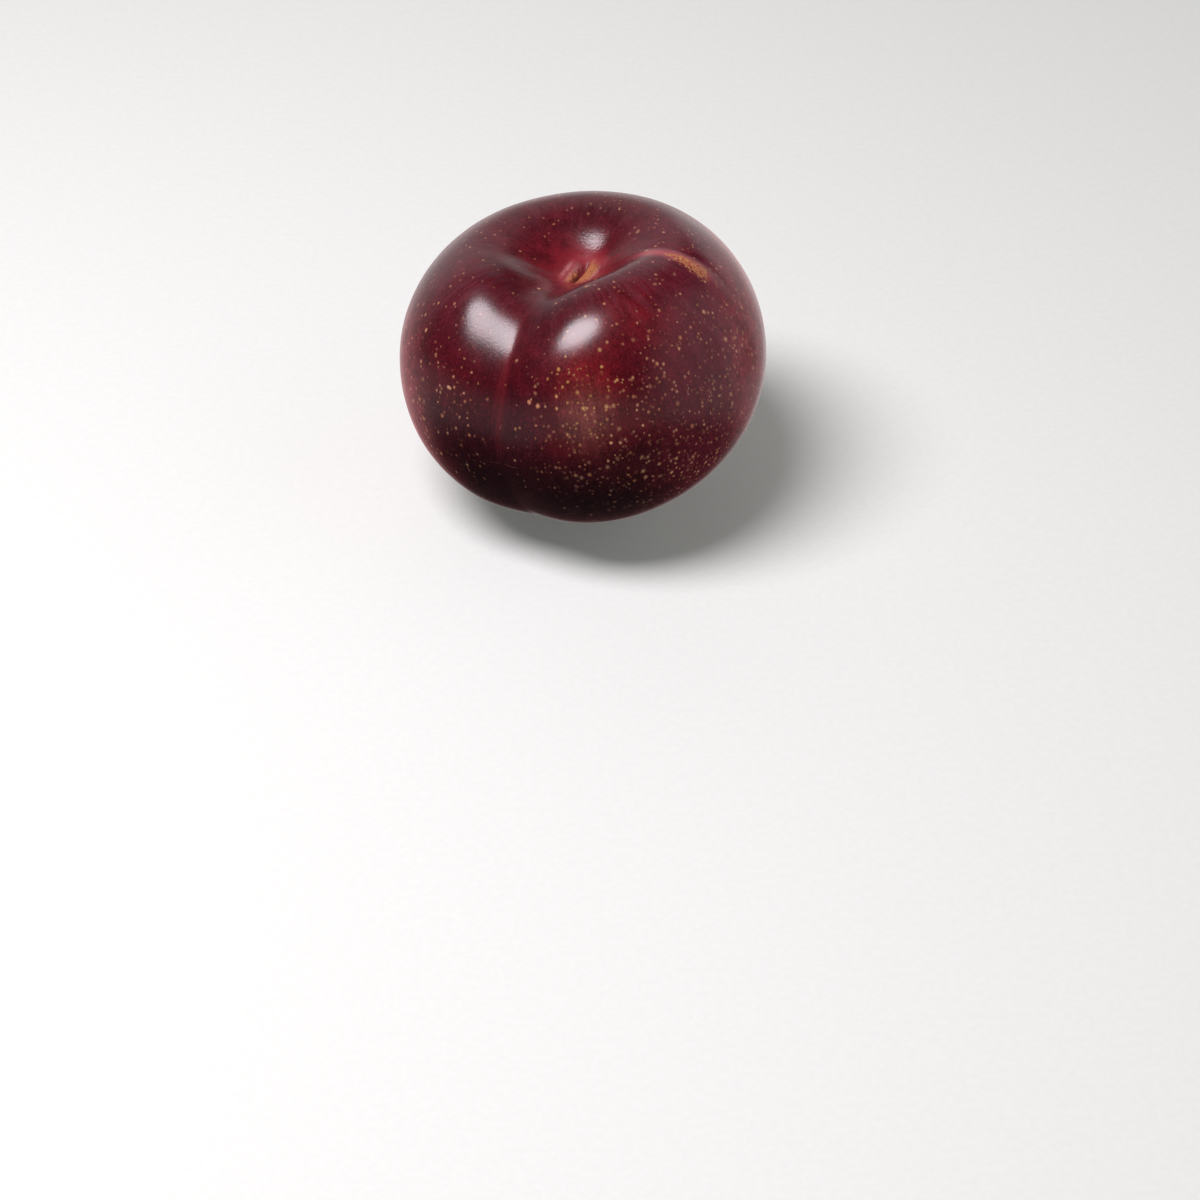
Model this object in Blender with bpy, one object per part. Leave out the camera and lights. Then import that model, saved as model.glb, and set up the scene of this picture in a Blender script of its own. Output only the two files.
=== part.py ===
# A whole ripe plumcot: an oblate stone fruit with a deep stem cavity, a suture between two lobes
# and a shallow fold on the right shoulder, standing a little askew on a small flat spot.
# Metres, +Z up, seen from -Y. The origin is under the middle of the fruit's box, on the ground.

import math

import bmesh
import bpy
from mathutils import Matrix, Vector

# Body: the round form without its cavity. A roundness of 2 is an ellipse, more is squarer.
BODY_RADIUS = 0.0305
TOP_HEIGHT = 0.02594
BOTTOM_HEIGHT = 0.0254
TOP_ROUNDNESS = 2.03
BOTTOM_ROUNDNESS = 2.05
# Each swell: how many times it repeats round the fruit, its share of the radius, its azimuth.
SWELLS = ((2, 0.0096, 0.0), (3, 0.0024, 27.0))

# Stem cavity. Its middle is a little off the fruit's axis, and it is wider at the back.
CAVITY_PLACE = (0.00118, 0.00028)
CAVITY_DEPTH = 0.01095
CAVITY_RADIUS = 0.011
CAVITY_ROUNDNESS = 1.97
CAVITY_SKEW = 0.17
# Soft dents and swells in the cavity's wall: right, back, half width, half length, depth.
HOLLOWS = ((0.0053, 0.005, 0.0037, 0.0032, 0.00062), (-0.0022, -0.0038, 0.003, 0.0042, -0.0003))

# Suture: a broad saddle in the rim, a furrow down the side and a fine groove along it.
SUTURE_AZIMUTH = -27.1
# The saddle keeps some width at the stem, and fades in between two places along the suture.
SADDLE_DEPTH = 0.00224
SADDLE_HALF_ANGLE = 27.3
SADDLE_WIDTH = 0.0037
SADDLE_START = (-0.002, 0.0088)
SADDLE_SHARPNESS = 2.4
SADDLE_REACH = 0.0164
SADDLE_POWER = 0.74
# The furrow and the groove fade in and out between polar angles in degrees, 0 at the stem.
FURROW_DEPTH = 0.00128
FURROW_WIDTH = 0.00645
FURROW_FADE_IN = (5.5, 26.0)
FURROW_FADE_OUT = (160.0, 100.0)
GROOVE_DEPTH = 0.0003
GROOVE_WIDTH = 0.00146
GROOVE_FADE_IN = (14.0, 40.0)
GROOVE_FADE_OUT = (175.0, 150.0)

# Fold on the right shoulder. It turns toward the front as it goes out.
FOLD_AZIMUTH = 88.5
FOLD_START = 0.014
FOLD_TURN_PER_METRE = -730.0
FOLD_DEPTH = 0.00072
FOLD_FRONT_HALF_ANGLE = 21.6
FOLD_BACK_HALF_ANGLE = 46.8
FOLD_SHARPNESS = 1.85
FOLD_REACH = 0.01465
FOLD_POWER = 2.87

# Shoulders that rise beside the cavity: azimuth, height, half angle.
SHOULDERS = ((50.3, 0.00031, 52.7), (-68.2, 0.00074, 29.2))
SHOULDER_REACH = 0.0146
SHOULDER_POWER = 2.0

# Stem scar: a pit between two lips at the bottom of the cavity. Its slot runs along its azimuth.
SCAR_PLACE = (0.0017, 0.0012)
SCAR_AZIMUTH = 152.0
SCAR_LIP_HEIGHT = 0.0006
SCAR_LIP_SPACING = 0.0015
SCAR_LENGTH = 0.0028
SCAR_WIDTH = 0.0008
SCAR_PIT_DEPTH = 0.0009

# How the fruit stands: its stem end leans toward -X, and its lowest place is cut flat.
LEAN = 8.1
FLAT_DEPTH = 0.0004
SHORTEST_EDGE = 0.0002

# Mesh: meridians crowd toward the suture, rings toward the stem.
MERIDIANS = 88
RINGS = 48
MERIDIAN_EVENNESS = 0.55
RING_EVENNESS = 0.35

SKIN_COLOUR = (0.085, 0.010, 0.018, 1.0)
SKIN_ROUGHNESS = 0.3


def clear_objects():
    for item in list(bpy.data.objects):
        bpy.data.objects.remove(item)


def smooth_step(low, high, value):
    part = min(max((value - low) / (high - low), 0.0), 1.0)
    return part * part * (3 - 2 * part)


def short_turn(angle):
    """The same angle between minus half a turn and half a turn."""
    return (angle + math.pi) % (2 * math.pi) - math.pi


def bell(value, width, power=2.0):
    return math.exp(-(abs(value) / width) ** power)


def hump(radius, peak, power):
    """1 at the peak radius, 0 at the axis and fading outward."""
    share = radius / peak
    return (share * math.exp(1 - share)) ** power


def body_point(polar, azimuth):
    """Radius and height of the round body, before anything is pressed into it."""
    across, along = math.sin(polar), math.cos(polar)
    height = TOP_HEIGHT if along >= 0 else BOTTOM_HEIGHT
    roundness = TOP_ROUNDNESS if along >= 0 else BOTTOM_ROUNDNESS
    reach = (across / BODY_RADIUS) ** roundness + (abs(along) / height) ** roundness
    reach **= -1 / roundness
    swell = 1.0
    for repeats, share, start in SWELLS:
        swell += share * across ** 2 * math.cos(repeats * (azimuth - math.radians(start)))
    return reach * across * swell, reach * along


def cavity_depth(radius, azimuth):
    right = radius * math.sin(azimuth) - CAVITY_PLACE[0]
    back = -radius * math.cos(azimuth) - CAVITY_PLACE[1]
    width = CAVITY_RADIUS * (1 + CAVITY_SKEW * math.sin(math.atan2(back, right)))
    depth = CAVITY_DEPTH * bell(math.hypot(right, back), width, CAVITY_ROUNDNESS)
    for middle_right, middle_back, half_width, half_length, dent in HOLLOWS:
        right = radius * math.sin(azimuth) - middle_right
        back = -radius * math.cos(azimuth) - middle_back
        depth += dent * bell(right, half_width) * bell(back, half_length)
    return depth


def saddle_depth(radius, azimuth):
    angle = azimuth - math.radians(SUTURE_AZIMUTH)
    width = math.hypot(radius * math.sin(math.radians(SADDLE_HALF_ANGLE)), SADDLE_WIDTH)
    across = bell(radius * math.sin(angle), width, SADDLE_SHARPNESS)
    fade = smooth_step(*SADDLE_START, radius * math.cos(angle))
    return SADDLE_DEPTH * across * fade * hump(radius, SADDLE_REACH, SADDLE_POWER)


def fold_depth(radius, azimuth):
    line = FOLD_AZIMUTH + FOLD_TURN_PER_METRE * (radius - FOLD_START)
    angle = math.degrees(short_turn(azimuth - math.radians(line)))
    half_angle = FOLD_FRONT_HALF_ANGLE if angle < 0 else FOLD_BACK_HALF_ANGLE
    across = bell(angle, half_angle, FOLD_SHARPNESS)
    return FOLD_DEPTH * across * hump(radius, FOLD_REACH, FOLD_POWER)


def shoulder_height(radius, azimuth):
    height = 0.0
    for middle, rise, half_angle in SHOULDERS:
        angle = math.degrees(short_turn(azimuth - math.radians(middle)))
        height += rise * bell(angle, half_angle) * hump(radius, SHOULDER_REACH, SHOULDER_POWER)
    return height


def suture_depth(polar, radius, azimuth):
    """Depth of the furrow and the groove along the suture, pressed in square to the skin."""
    angle = short_turn(azimuth - math.radians(SUTURE_AZIMUTH))
    beside = radius * math.sin(angle)
    degrees = math.degrees(polar)
    groove = GROOVE_DEPTH * bell(beside, GROOVE_WIDTH, 1.0)
    groove *= smooth_step(*GROOVE_FADE_IN, degrees) * smooth_step(*GROOVE_FADE_OUT, degrees)
    furrow = FURROW_DEPTH * bell(beside, FURROW_WIDTH)
    furrow *= smooth_step(*FURROW_FADE_IN, degrees) * smooth_step(*FURROW_FADE_OUT, degrees)
    return (groove + furrow) * smooth_step(-0.1, 0.35, math.cos(angle))


def scar_height(radius, azimuth):
    """Relief of the torn stem scar: two lips with a pit between them."""
    right = radius * math.sin(azimuth) - SCAR_PLACE[0]
    back = -radius * math.cos(azimuth) - SCAR_PLACE[1]
    turn = math.radians(SCAR_AZIMUTH)
    along = right * math.sin(turn) - back * math.cos(turn)
    across = right * math.cos(turn) + back * math.sin(turn)
    lips = SCAR_LIP_HEIGHT * bell(abs(across) - SCAR_LIP_SPACING, SCAR_WIDTH)
    pit = SCAR_PIT_DEPTH * bell(across, SCAR_WIDTH)
    return (lips - pit) * bell(along, SCAR_LENGTH)


def skin_point(polar, azimuth):
    """A point of the upright fruit's skin, measured from the middle of its body."""
    radius, height = body_point(polar, azimuth)
    body_height = TOP_HEIGHT if height >= 0 else BOTTOM_HEIGHT
    outward = Vector((radius / BODY_RADIUS ** 2, height / body_height ** 2)).normalized()
    sunk = cavity_depth(radius, azimuth) + saddle_depth(radius, azimuth)
    sunk += fold_depth(radius, azimuth) - shoulder_height(radius, azimuth)
    sunk -= scar_height(radius, azimuth)
    inward = suture_depth(polar, radius, azimuth)
    height -= sunk * smooth_step(-0.2, 0.35, math.cos(polar)) + inward * outward.y
    radius -= inward * outward.x
    return Vector((radius * math.sin(azimuth), -radius * math.cos(azimuth), height))


def shape_skin(mesh):
    """Press an even globe into the fruit's form."""
    for vertex in mesh.verts:
        polar = math.acos(min(max(vertex.co.z, -1.0), 1.0))
        azimuth = math.atan2(vertex.co.x, -vertex.co.y)
        share = azimuth / math.pi
        share = MERIDIAN_EVENNESS * share + (1 - MERIDIAN_EVENNESS) * share ** 3
        azimuth = math.radians(SUTURE_AZIMUTH) + math.pi * share
        share = polar / math.pi
        polar = math.pi * share * (RING_EVENNESS + (1 - RING_EVENNESS) * share)
        vertex.co = skin_point(polar, azimuth)


def cut_flat_spot(mesh):
    """Cut the lowest place of the leaning fruit flat and close it."""
    ground = min(vertex.co.z for vertex in mesh.verts) + FLAT_DEPTH
    everything = mesh.verts[:] + mesh.edges[:] + mesh.faces[:]
    bmesh.ops.bisect_plane(
        mesh, geom=everything, plane_co=(0, 0, ground), plane_no=(0, 0, -1), clear_outer=True
    )
    near_cut = [vertex for vertex in mesh.verts if vertex.co.z < ground + SHORTEST_EDGE]
    bmesh.ops.remove_doubles(mesh, verts=near_cut, dist=SHORTEST_EDGE)
    rim = [edge for edge in mesh.edges if edge.is_boundary]
    for edge in rim:
        for vertex in edge.verts:
            vertex.co.z = ground
    bmesh.ops.edgeloop_fill(mesh, edges=rim)


def set_origin(mesh):
    """Move the fruit so that the origin is on the ground under the middle of its box."""
    low = Vector([min(vertex.co[axis] for vertex in mesh.verts) for axis in range(3)])
    high = Vector([max(vertex.co[axis] for vertex in mesh.verts) for axis in range(3)])
    middle = (low + high) / 2
    bmesh.ops.translate(mesh, verts=mesh.verts[:], vec=(-middle.x, -middle.y, -low.z))


def skin_material():
    material = bpy.data.materials.new("skin")
    material.use_nodes = True
    shader = material.node_tree.nodes["Principled BSDF"]
    shader.inputs["Base Color"].default_value = SKIN_COLOUR
    shader.inputs["Roughness"].default_value = SKIN_ROUGHNESS
    shader.inputs["Metallic"].default_value = 0.0
    return material


def make_fruit():
    mesh = bmesh.new()
    bmesh.ops.create_uvsphere(mesh, u_segments=MERIDIANS, v_segments=RINGS, radius=1.0)
    shape_skin(mesh)
    bmesh.ops.rotate(mesh, verts=mesh.verts[:], matrix=Matrix.Rotation(math.radians(-LEAN), 3, "Y"))
    cut_flat_spot(mesh)
    set_origin(mesh)
    bmesh.ops.recalc_face_normals(mesh, faces=mesh.faces[:])
    data = bpy.data.meshes.new("fruit")
    mesh.to_mesh(data)
    mesh.free()
    data.shade_smooth()
    data.materials.append(skin_material())
    fruit = bpy.data.objects.new("fruit", data)
    bpy.context.scene.collection.objects.link(fruit)


clear_objects()
make_fruit()
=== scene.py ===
# A whole ripe plumcot on a pale studio floor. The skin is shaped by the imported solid's formulas,
# so it fills the solid's place, and it is coloured here. Lengths in the dictionaries are
# millimetres, angles are degrees and colours are hex codes. Azimuth is 0 at the front (-Y) and
# 90 at the right (+X). A polar angle is 0 at the stem and 180 at the tip.
import math
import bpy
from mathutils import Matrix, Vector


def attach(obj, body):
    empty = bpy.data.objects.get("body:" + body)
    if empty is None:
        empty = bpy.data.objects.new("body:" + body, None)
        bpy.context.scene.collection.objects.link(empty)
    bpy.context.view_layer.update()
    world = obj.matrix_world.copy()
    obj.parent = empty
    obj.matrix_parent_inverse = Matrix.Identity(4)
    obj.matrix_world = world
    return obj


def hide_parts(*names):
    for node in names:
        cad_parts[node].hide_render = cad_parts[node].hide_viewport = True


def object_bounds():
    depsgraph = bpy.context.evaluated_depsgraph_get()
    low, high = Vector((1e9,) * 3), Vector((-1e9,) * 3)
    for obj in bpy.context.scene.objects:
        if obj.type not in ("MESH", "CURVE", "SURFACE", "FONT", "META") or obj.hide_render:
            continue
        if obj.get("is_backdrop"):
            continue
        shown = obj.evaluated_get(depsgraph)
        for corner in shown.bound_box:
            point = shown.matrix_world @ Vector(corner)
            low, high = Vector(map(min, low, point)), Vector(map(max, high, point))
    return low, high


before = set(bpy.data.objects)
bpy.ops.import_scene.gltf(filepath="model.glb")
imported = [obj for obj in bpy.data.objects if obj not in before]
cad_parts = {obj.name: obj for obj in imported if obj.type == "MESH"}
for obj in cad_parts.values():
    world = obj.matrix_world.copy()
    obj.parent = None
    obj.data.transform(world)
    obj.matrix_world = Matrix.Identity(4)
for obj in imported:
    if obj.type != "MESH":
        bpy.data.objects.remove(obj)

from types import SimpleNamespace

import bpy
import numpy as np
from mathutils import Matrix, Quaternion, Vector, noise

cadLow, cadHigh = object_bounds()
print("frame loaded, CAD size in mm:", [round(1000 * side, 1) for side in cadHigh - cadLow])

# the form of the fruit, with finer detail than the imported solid
form = {
    "radius": 30.5,
    "topHeight": 25.94,
    "bottomHeight": 25.4,
    "topRoundness": 2.03,        # 2 is an ellipse, more is squarer
    "bottomRoundness": 2.05,
    "swells": ((2, 0.0096, 0.0), (3, 0.0024, 27.0)),      # repeats round the fruit, share, azimuth
    "shoulders": ((50.3, 0.31, 52.7), (-68.2, 0.74, 29.2)),   # azimuth, height, half angle
    "shoulderReach": 14.6,
    "shoulderPower": 2.0,
    "lean": 8.1,                 # the stem end leans to the left
    "flatDepth": 0.4,            # how much the resting spot is pressed flat
    "unevenness": 0.07,          # height of the slow waves in the skin
    "waves": ((11.0, 1.0, 0.0), (4.5, 0.4, 3.1)),         # length, share, seed
    "wavesStart": (3, 9),        # none nearer the stem
    "topFade": (-0.2, 0.35),     # the cosines of the polar angle where the top's hollows fade in
    "meridians": 320,
    "rings": 280,
    "ringCrowding": 0.78,        # toward the stem
    "meridianCrowding": 0.4,     # toward the suture
}
cavity = {
    "place": (1.18, 0.28),
    "depth": 10.95,
    "radius": 11.0,
    "roundness": 1.97,
    "skew": 0.17,                # wider at the back
    "hollows": (                 # soft dents and swells in it: right, back, widths, depth
        (5.3, 5.0, 3.7, 3.2, 0.62),
        (-2.2, -3.8, 3.0, 4.2, -0.3),
    ),
}
suture = {
    "azimuth": -27.1,
    "saddleDepth": 2.24,
    "saddleHalfAngle": 27.3,
    "saddleWidth": 3.7,          # at the stem, where the half angle leaves no width
    "saddleStart": (-2.0, 8.8),  # fades in between these places along the suture
    "saddleReach": 16.4,
    "saddleRoundness": 2.4,
    "saddlePower": 0.74,
    "furrowDepth": 1.28,
    "furrowWidth": 6.45,
    "grooveDepth": 0.3,
    "grooveWidth": 1.46,
    "grooveRounding": 0.7,
    "grooveFades": ((14, 40), (175, 150)),        # polar angles it fades in and out between
    "furrowFades": ((5.5, 26), (160, 100)),
    "frontFade": (-0.1, 0.35),   # the cosines of the azimuth from it where both fade in
}
fold = {
    "azimuth": 88.5,
    "turn": -0.73,               # degrees for each mm outward from the start
    "start": 14.0,
    "depth": 0.72,
    "frontHalfAngle": 21.6,
    "backHalfAngle": 46.8,
    "reach": 14.65,
    "power": 2.87,
    "roundness": 1.85,
    "markShift": 2.0,            # the coloured line is this much nearer the front
    "creaseDepth": 0.15,
    "creaseWidth": 1.0,
    "creaseRoundness": 1.3,
    "creaseAngles": (90, 60),    # from the fold's line, degrees
    "creaseFades": ((8, 20), (75, 45)),          # polar angles
}
scar = {
    "place": (1.7, 1.5),         # right and back of the stem axis
    "azimuth": 152.0,            # the slot points to the back and a little to the right
    "length": 2.9,
    "endRoundness": 3.0,
    "backEnd": (3.3, 1.5),       # along the slot, where its back end starts and is full
    "lipHeight": 0.55,
    "lipSpacing": 1.45,
    "lipWidth": 0.8,
    "pitDepth": 0.6,
    "pitWidth": 0.45,
    "tearDepth": 0.12,           # fine ragged relief of the torn fibres
    "tearSize": (3.2, 2.8),      # along the slot and across it
    "tearRoundness": 4.0,
    "fibreScale": (0.45, 1.6),   # along the slot and across it
    "fibres": ((0.8, 1.0, 7.0), (0.35, 0.5, 2.0)),        # length, share, seed
    "tintStretch": 0.8,          # the colours round it reach farther along the slot
}
farAway = 40                     # mm, farther from a mark than its colours reach


def smoothStep(low, high, value):
    part = np.clip((value - low) / (high - low), 0, 1)
    return part * part * (3 - 2 * part)


def bell(value, width, power=2.0):
    return np.exp(-(np.abs(value) / width) ** power)


def hump(radius, peak, power):   # 1 at the peak radius, 0 at the axis and fading outward
    share = radius / peak
    return (share * np.exp(1 - share)) ** power


def shortTurn(angle):            # degrees, brought between -180 and 180
    return (angle + 180) % 360 - 180


def lumps(points, size, seed=0.0):   # smooth noise at each point, about -1 to 1
    shift = Vector((seed, 1.7 * seed, -0.6 * seed))
    return np.array([noise.noise(Vector(point) / size + shift) for point in points])


def layeredLumps(points, layers):
    return sum(share * lumps(points, size, seed) for size, share, seed in layers)


def planPlace(radius, azimuth, place):   # how far right and back of a place a point is
    turn = np.radians(azimuth)
    return radius * np.sin(turn) - place[0], -radius * np.cos(turn) - place[1]


def scarPlace(radius, azimuth):          # how far along the scar's slot and across it
    right, back = planPlace(radius, azimuth, scar["place"])
    turn = math.radians(scar["azimuth"])
    along = right * math.sin(turn) - back * math.cos(turn)
    across = right * math.cos(turn) + back * math.sin(turn)
    return along, across


def foldPlace(radius, azimuth):          # degrees and mm across the fold's line
    line = fold["azimuth"] + fold["turn"] * (radius - fold["start"])
    angle = shortTurn(azimuth - line)
    return angle, radius * np.sin(np.radians(angle))


def sunkDepth(radius, azimuth):          # how far the cavity and the folds lower the top
    right, back = planPlace(radius, azimuth, cavity["place"])
    width = cavity["radius"] * (1 + cavity["skew"] * np.sin(np.arctan2(back, right)))
    sunk = cavity["depth"] * bell(np.hypot(right, back), width, cavity["roundness"])
    for placeRight, placeBack, width, length, depth in cavity["hollows"]:
        right, back = planPlace(radius, azimuth, (placeRight, placeBack))
        sunk += depth * bell(right, width) * bell(back, length)

    turn = np.radians(azimuth - suture["azimuth"])
    halfWidth = radius * math.sin(math.radians(suture["saddleHalfAngle"]))
    halfWidth = np.hypot(halfWidth, suture["saddleWidth"])
    saddle = bell(radius * np.sin(turn), halfWidth, suture["saddleRoundness"])
    saddle *= hump(radius, suture["saddleReach"], suture["saddlePower"])
    sunk += suture["saddleDepth"] * saddle * smoothStep(*suture["saddleStart"], radius * np.cos(turn))

    angle, across = foldPlace(radius, azimuth)
    halfAngle = np.where(angle < 0, fold["frontHalfAngle"], fold["backHalfAngle"])
    dip = bell(angle, halfAngle, fold["roundness"]) * hump(radius, fold["reach"], fold["power"])
    sunk += fold["depth"] * dip

    for middle, rise, spread in form["shoulders"]:
        angle = shortTurn(azimuth - middle)
        sunk -= rise * bell(angle, spread) * hump(radius, form["shoulderReach"], form["shoulderPower"])

    along, across = scarPlace(radius, azimuth)
    lips = scar["lipHeight"] * bell(np.abs(across) - scar["lipSpacing"], scar["lipWidth"])
    pit = scar["pitDepth"] * bell(across, scar["pitWidth"])
    ends = bell(along, scar["length"], scar["endRoundness"]) * smoothStep(*scar["backEnd"], along)
    return sunk - (lips - pit) * ends


def pressedDepth(polar, radius, azimuth):    # the lines pressed in square to the skin
    angle = shortTurn(azimuth - suture["azimuth"])
    beside = radius * np.sin(np.radians(angle))
    rounded = np.hypot(beside, suture["grooveRounding"])
    groove = suture["grooveDepth"] * bell(rounded, suture["grooveWidth"], 1.0)
    furrow = suture["furrowDepth"] * bell(beside, suture["furrowWidth"])
    for low, high in suture["grooveFades"]:
        groove = groove * smoothStep(low, high, polar)
    for low, high in suture["furrowFades"]:
        furrow = furrow * smoothStep(low, high, polar)
    pressed = (groove + furrow) * smoothStep(*suture["frontFade"], np.cos(np.radians(angle)))
    angle, across = foldPlace(radius, azimuth)
    crease = fold["creaseDepth"] * bell(across, fold["creaseWidth"], fold["creaseRoundness"])
    crease = crease * smoothStep(*fold["creaseAngles"], np.abs(angle))
    for low, high in fold["creaseFades"]:
        crease = crease * smoothStep(low, high, polar)
    return pressed + crease


def skinPoints(polar, azimuth):              # the upright skin, measured from the body's middle
    across, along = np.sin(np.radians(polar)), np.cos(np.radians(polar))
    height = np.where(along >= 0, form["topHeight"], form["bottomHeight"])
    roundness = np.where(along >= 0, form["topRoundness"], form["bottomRoundness"])
    reach = (across / form["radius"]) ** roundness + (np.abs(along) / height) ** roundness
    reach = reach ** (-1 / roundness)
    swell = 1.0
    for repeats, share, start in form["swells"]:
        swell = swell + share * across ** 2 * np.cos(repeats * np.radians(azimuth - start))
    radius, level = reach * across * swell, reach * along
    outRadius, outLevel = radius / form["radius"] ** 2, level / height ** 2
    length = np.hypot(outRadius, outLevel)
    pressed = pressedDepth(polar, radius, azimuth)
    level = level - sunkDepth(radius, azimuth) * smoothStep(*form["topFade"], along)
    radius, level = radius - pressed * outRadius / length, level - pressed * outLevel / length
    turn = np.radians(azimuth)
    return np.stack([radius * np.sin(turn), -radius * np.cos(turn), level], 1), radius


def globeGrid(meridians, rings):   # shares from top to bottom and round, from -1 to 1, and the faces
    downShares, turnShares = np.arange(1, rings) / rings, 2 * np.arange(meridians) / meridians - 1
    down, turned = np.meshgrid(downShares, turnShares, indexing="ij")
    down = np.concatenate([[0.0], down.ravel(), [1.0]])
    turned = np.concatenate([[0.0], turned.ravel(), [0.0]])
    faces = []
    last = len(down) - 1
    for step in range(meridians):
        after = (step + 1) % meridians
        faces.append((0, 1 + step, 1 + after))
        faces.append((last, last - meridians + after, last - meridians + step))
        for ring in range(rings - 2):
            above, below = 1 + ring * meridians, 1 + (ring + 1) * meridians
            faces.append((above + step, below + step, below + after, above + after))
    return down, turned, faces


def linePlaces(polar, radius, azimuth):    # mm across the suture, mm across the fold, polar angle
    angle = shortTurn(azimuth - suture["azimuth"])
    beside = np.where(np.abs(angle) < 90, radius * np.sin(np.radians(angle)), np.copysign(farAway, angle))
    angle, across = foldPlace(radius, azimuth)
    across = np.where(np.abs(angle) < 90, across, np.copysign(farAway, angle))
    return np.stack([beside, across, polar], 1)


def roughenSkin(points, radius, along, across):   # slow waves all over and ragged fibres in the scar
    outward = points / np.linalg.norm(points, axis=1)[:, None]
    waves = form["unevenness"] * layeredLumps(points, form["waves"])
    points += outward * (waves * smoothStep(*form["wavesStart"], radius))[:, None]
    tornLength, tornWidth = scar["tearSize"]
    torn = bell(along, tornLength, scar["tearRoundness"]) * bell(across, tornWidth, scar["tearRoundness"])
    near = torn > 0.01
    alongScale, acrossScale = scar["fibreScale"]
    stretched = np.stack([along[near] * alongScale, across[near] * acrossScale, 0 * along[near]], 1)
    points[near, 2] += scar["tearDepth"] * torn[near] * layeredLumps(stretched, scar["fibres"])


def standUp(points):             # the fruit leans over and stands on its flat spot
    leaning = points @ np.array(Matrix.Rotation(math.radians(-form["lean"]), 3, "Y")).T
    ground = leaning[:, 2].min() + form["flatDepth"]
    leaning[:, 2] = np.maximum(leaning[:, 2] - ground, 0)
    middle = (leaning.min(0) + leaning.max(0)) / 2
    leaning[:, :2] -= middle[:2]
    return leaning / 1000, Vector((-middle[0], -middle[1], -ground)) / 1000


def shapeFruit():
    down, around, faces = globeGrid(form["meridians"], form["rings"])
    polar = 180 * down * (1 - form["ringCrowding"] * (1 - down))
    azimuth = suture["azimuth"] + 180 * around * (1 - form["meridianCrowding"] * (1 - around ** 2))
    points, radius = skinPoints(polar, azimuth)
    along, across = scarPlace(radius, azimuth)
    along = np.where(polar < 90, along, farAway)           # the scar is only on the top
    roughenSkin(points, radius, along, across)
    standing, bodyMiddle = standUp(points)
    mesh = bpy.data.meshes.new("plumcotSkin")
    mesh.from_pydata(standing, [], faces)

    # places on the skin that its colours are laid out by
    turn = np.radians(azimuth)
    marks = {
        "upright": points,
        "around": np.stack([np.sin(turn), -np.cos(turn), np.radians(polar)], 1),
        "lines": linePlaces(polar, radius, azimuth),
        "scarSpot": np.stack([along, across, np.hypot(along * scar["tintStretch"], across)], 1),
    }
    for name, values in marks.items():
        attribute = mesh.attributes.new(name, "FLOAT_VECTOR", "POINT")
        attribute.data.foreach_set("vector", values.astype(np.float32).ravel())
    mesh.update()
    mesh.shade_smooth()
    return mesh, bodyMiddle


fruitMesh, bodyMiddle = shapeFruit()
middleMm = [round(1000 * part, 2) for part in bodyMiddle]
print("skin shaped:", len(fruitMesh.vertices), "points, body middle at", middleMm)


# short names for the nodes that the materials are built from
def paint(code):                 # a hex colour as linear red, green, blue, alpha
    parts = [int(code[start:start + 2], 16) / 255 for start in (0, 2, 4)]
    linear = [part / 12.92 if part <= 0.04045 else ((part + 0.055) / 1.055) ** 2.4 for part in parts]
    return (*linear, 1.0)


def plug(tree, source, socket):
    if isinstance(source, bpy.types.NodeSocket):
        tree.links.new(source, socket)
    elif isinstance(source, str):
        socket.default_value = paint(source)
    else:
        socket.default_value = source


def calc(tree, operation, first, second=0.0, third=0.0, clamp=False):
    node = tree.nodes.new("ShaderNodeMath")
    node.operation, node.use_clamp = operation, clamp
    for source, socket in zip((first, second, third), node.inputs):
        plug(tree, source, socket)
    return node.outputs[0]


def ease(tree, value, low, high, outLow=0.0, outHigh=1.0):   # a soft step from low to high
    node = tree.nodes.new("ShaderNodeMapRange")
    node.interpolation_type = "SMOOTHSTEP"
    for source, socket in zip((value, low, high, outLow, outHigh), node.inputs):
        plug(tree, source, socket)
    return node.outputs[0]


def times(tree, *values):
    total = values[0]
    for value in values[1:]:
        total = calc(tree, "MULTIPLY", total, value)
    return total


def most(tree, *values):
    total = values[0]
    for value in values[1:]:
        total = calc(tree, "MAXIMUM", total, value)
    return total


def blend(tree, amount, under, over):
    node = tree.nodes.new("ShaderNodeMix")
    node.data_type = "RGBA"
    plug(tree, amount, node.inputs["Factor"])
    plug(tree, under, node.inputs[6])
    plug(tree, over, node.inputs[7])
    return node.outputs[2]


def stored(tree, name):
    node = tree.nodes.new("ShaderNodeAttribute")
    node.attribute_name = name
    return node.outputs["Vector"]


def vectorCalc(tree, operation, first, second=(0.0, 0.0, 0.0), third=(0.0, 0.0, 0.0)):
    node = tree.nodes.new("ShaderNodeVectorMath")
    node.operation = operation
    for source, socket in zip((first, second, third), node.inputs):
        plug(tree, source, socket)
    return node.outputs["Value" if operation in ("LENGTH", "DOT_PRODUCT") else "Vector"]


def parts(tree, vector):
    node = tree.nodes.new("ShaderNodeSeparateXYZ")
    plug(tree, vector, node.inputs[0])
    return node.outputs[0], node.outputs[1], node.outputs[2]


def clouds(tree, vector, scale, detail, roughness, output="Fac"):
    node = tree.nodes.new("ShaderNodeTexNoise")
    plug(tree, vector, node.inputs["Vector"])
    for name, value in (("Scale", scale), ("Detail", detail), ("Roughness", roughness)):
        node.inputs[name].default_value = value
    return node.outputs[output]


def patch(tree, upright, centre, size):              # 1 at the centre, 0 beyond the size
    shift = [-place / side for place, side in zip(centre, size)]
    moved = vectorCalc(tree, "MULTIPLY_ADD", upright, [1 / side for side in size], shift)
    return ease(tree, vectorCalc(tree, "LENGTH", moved), 1.0, 0.0)


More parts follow.
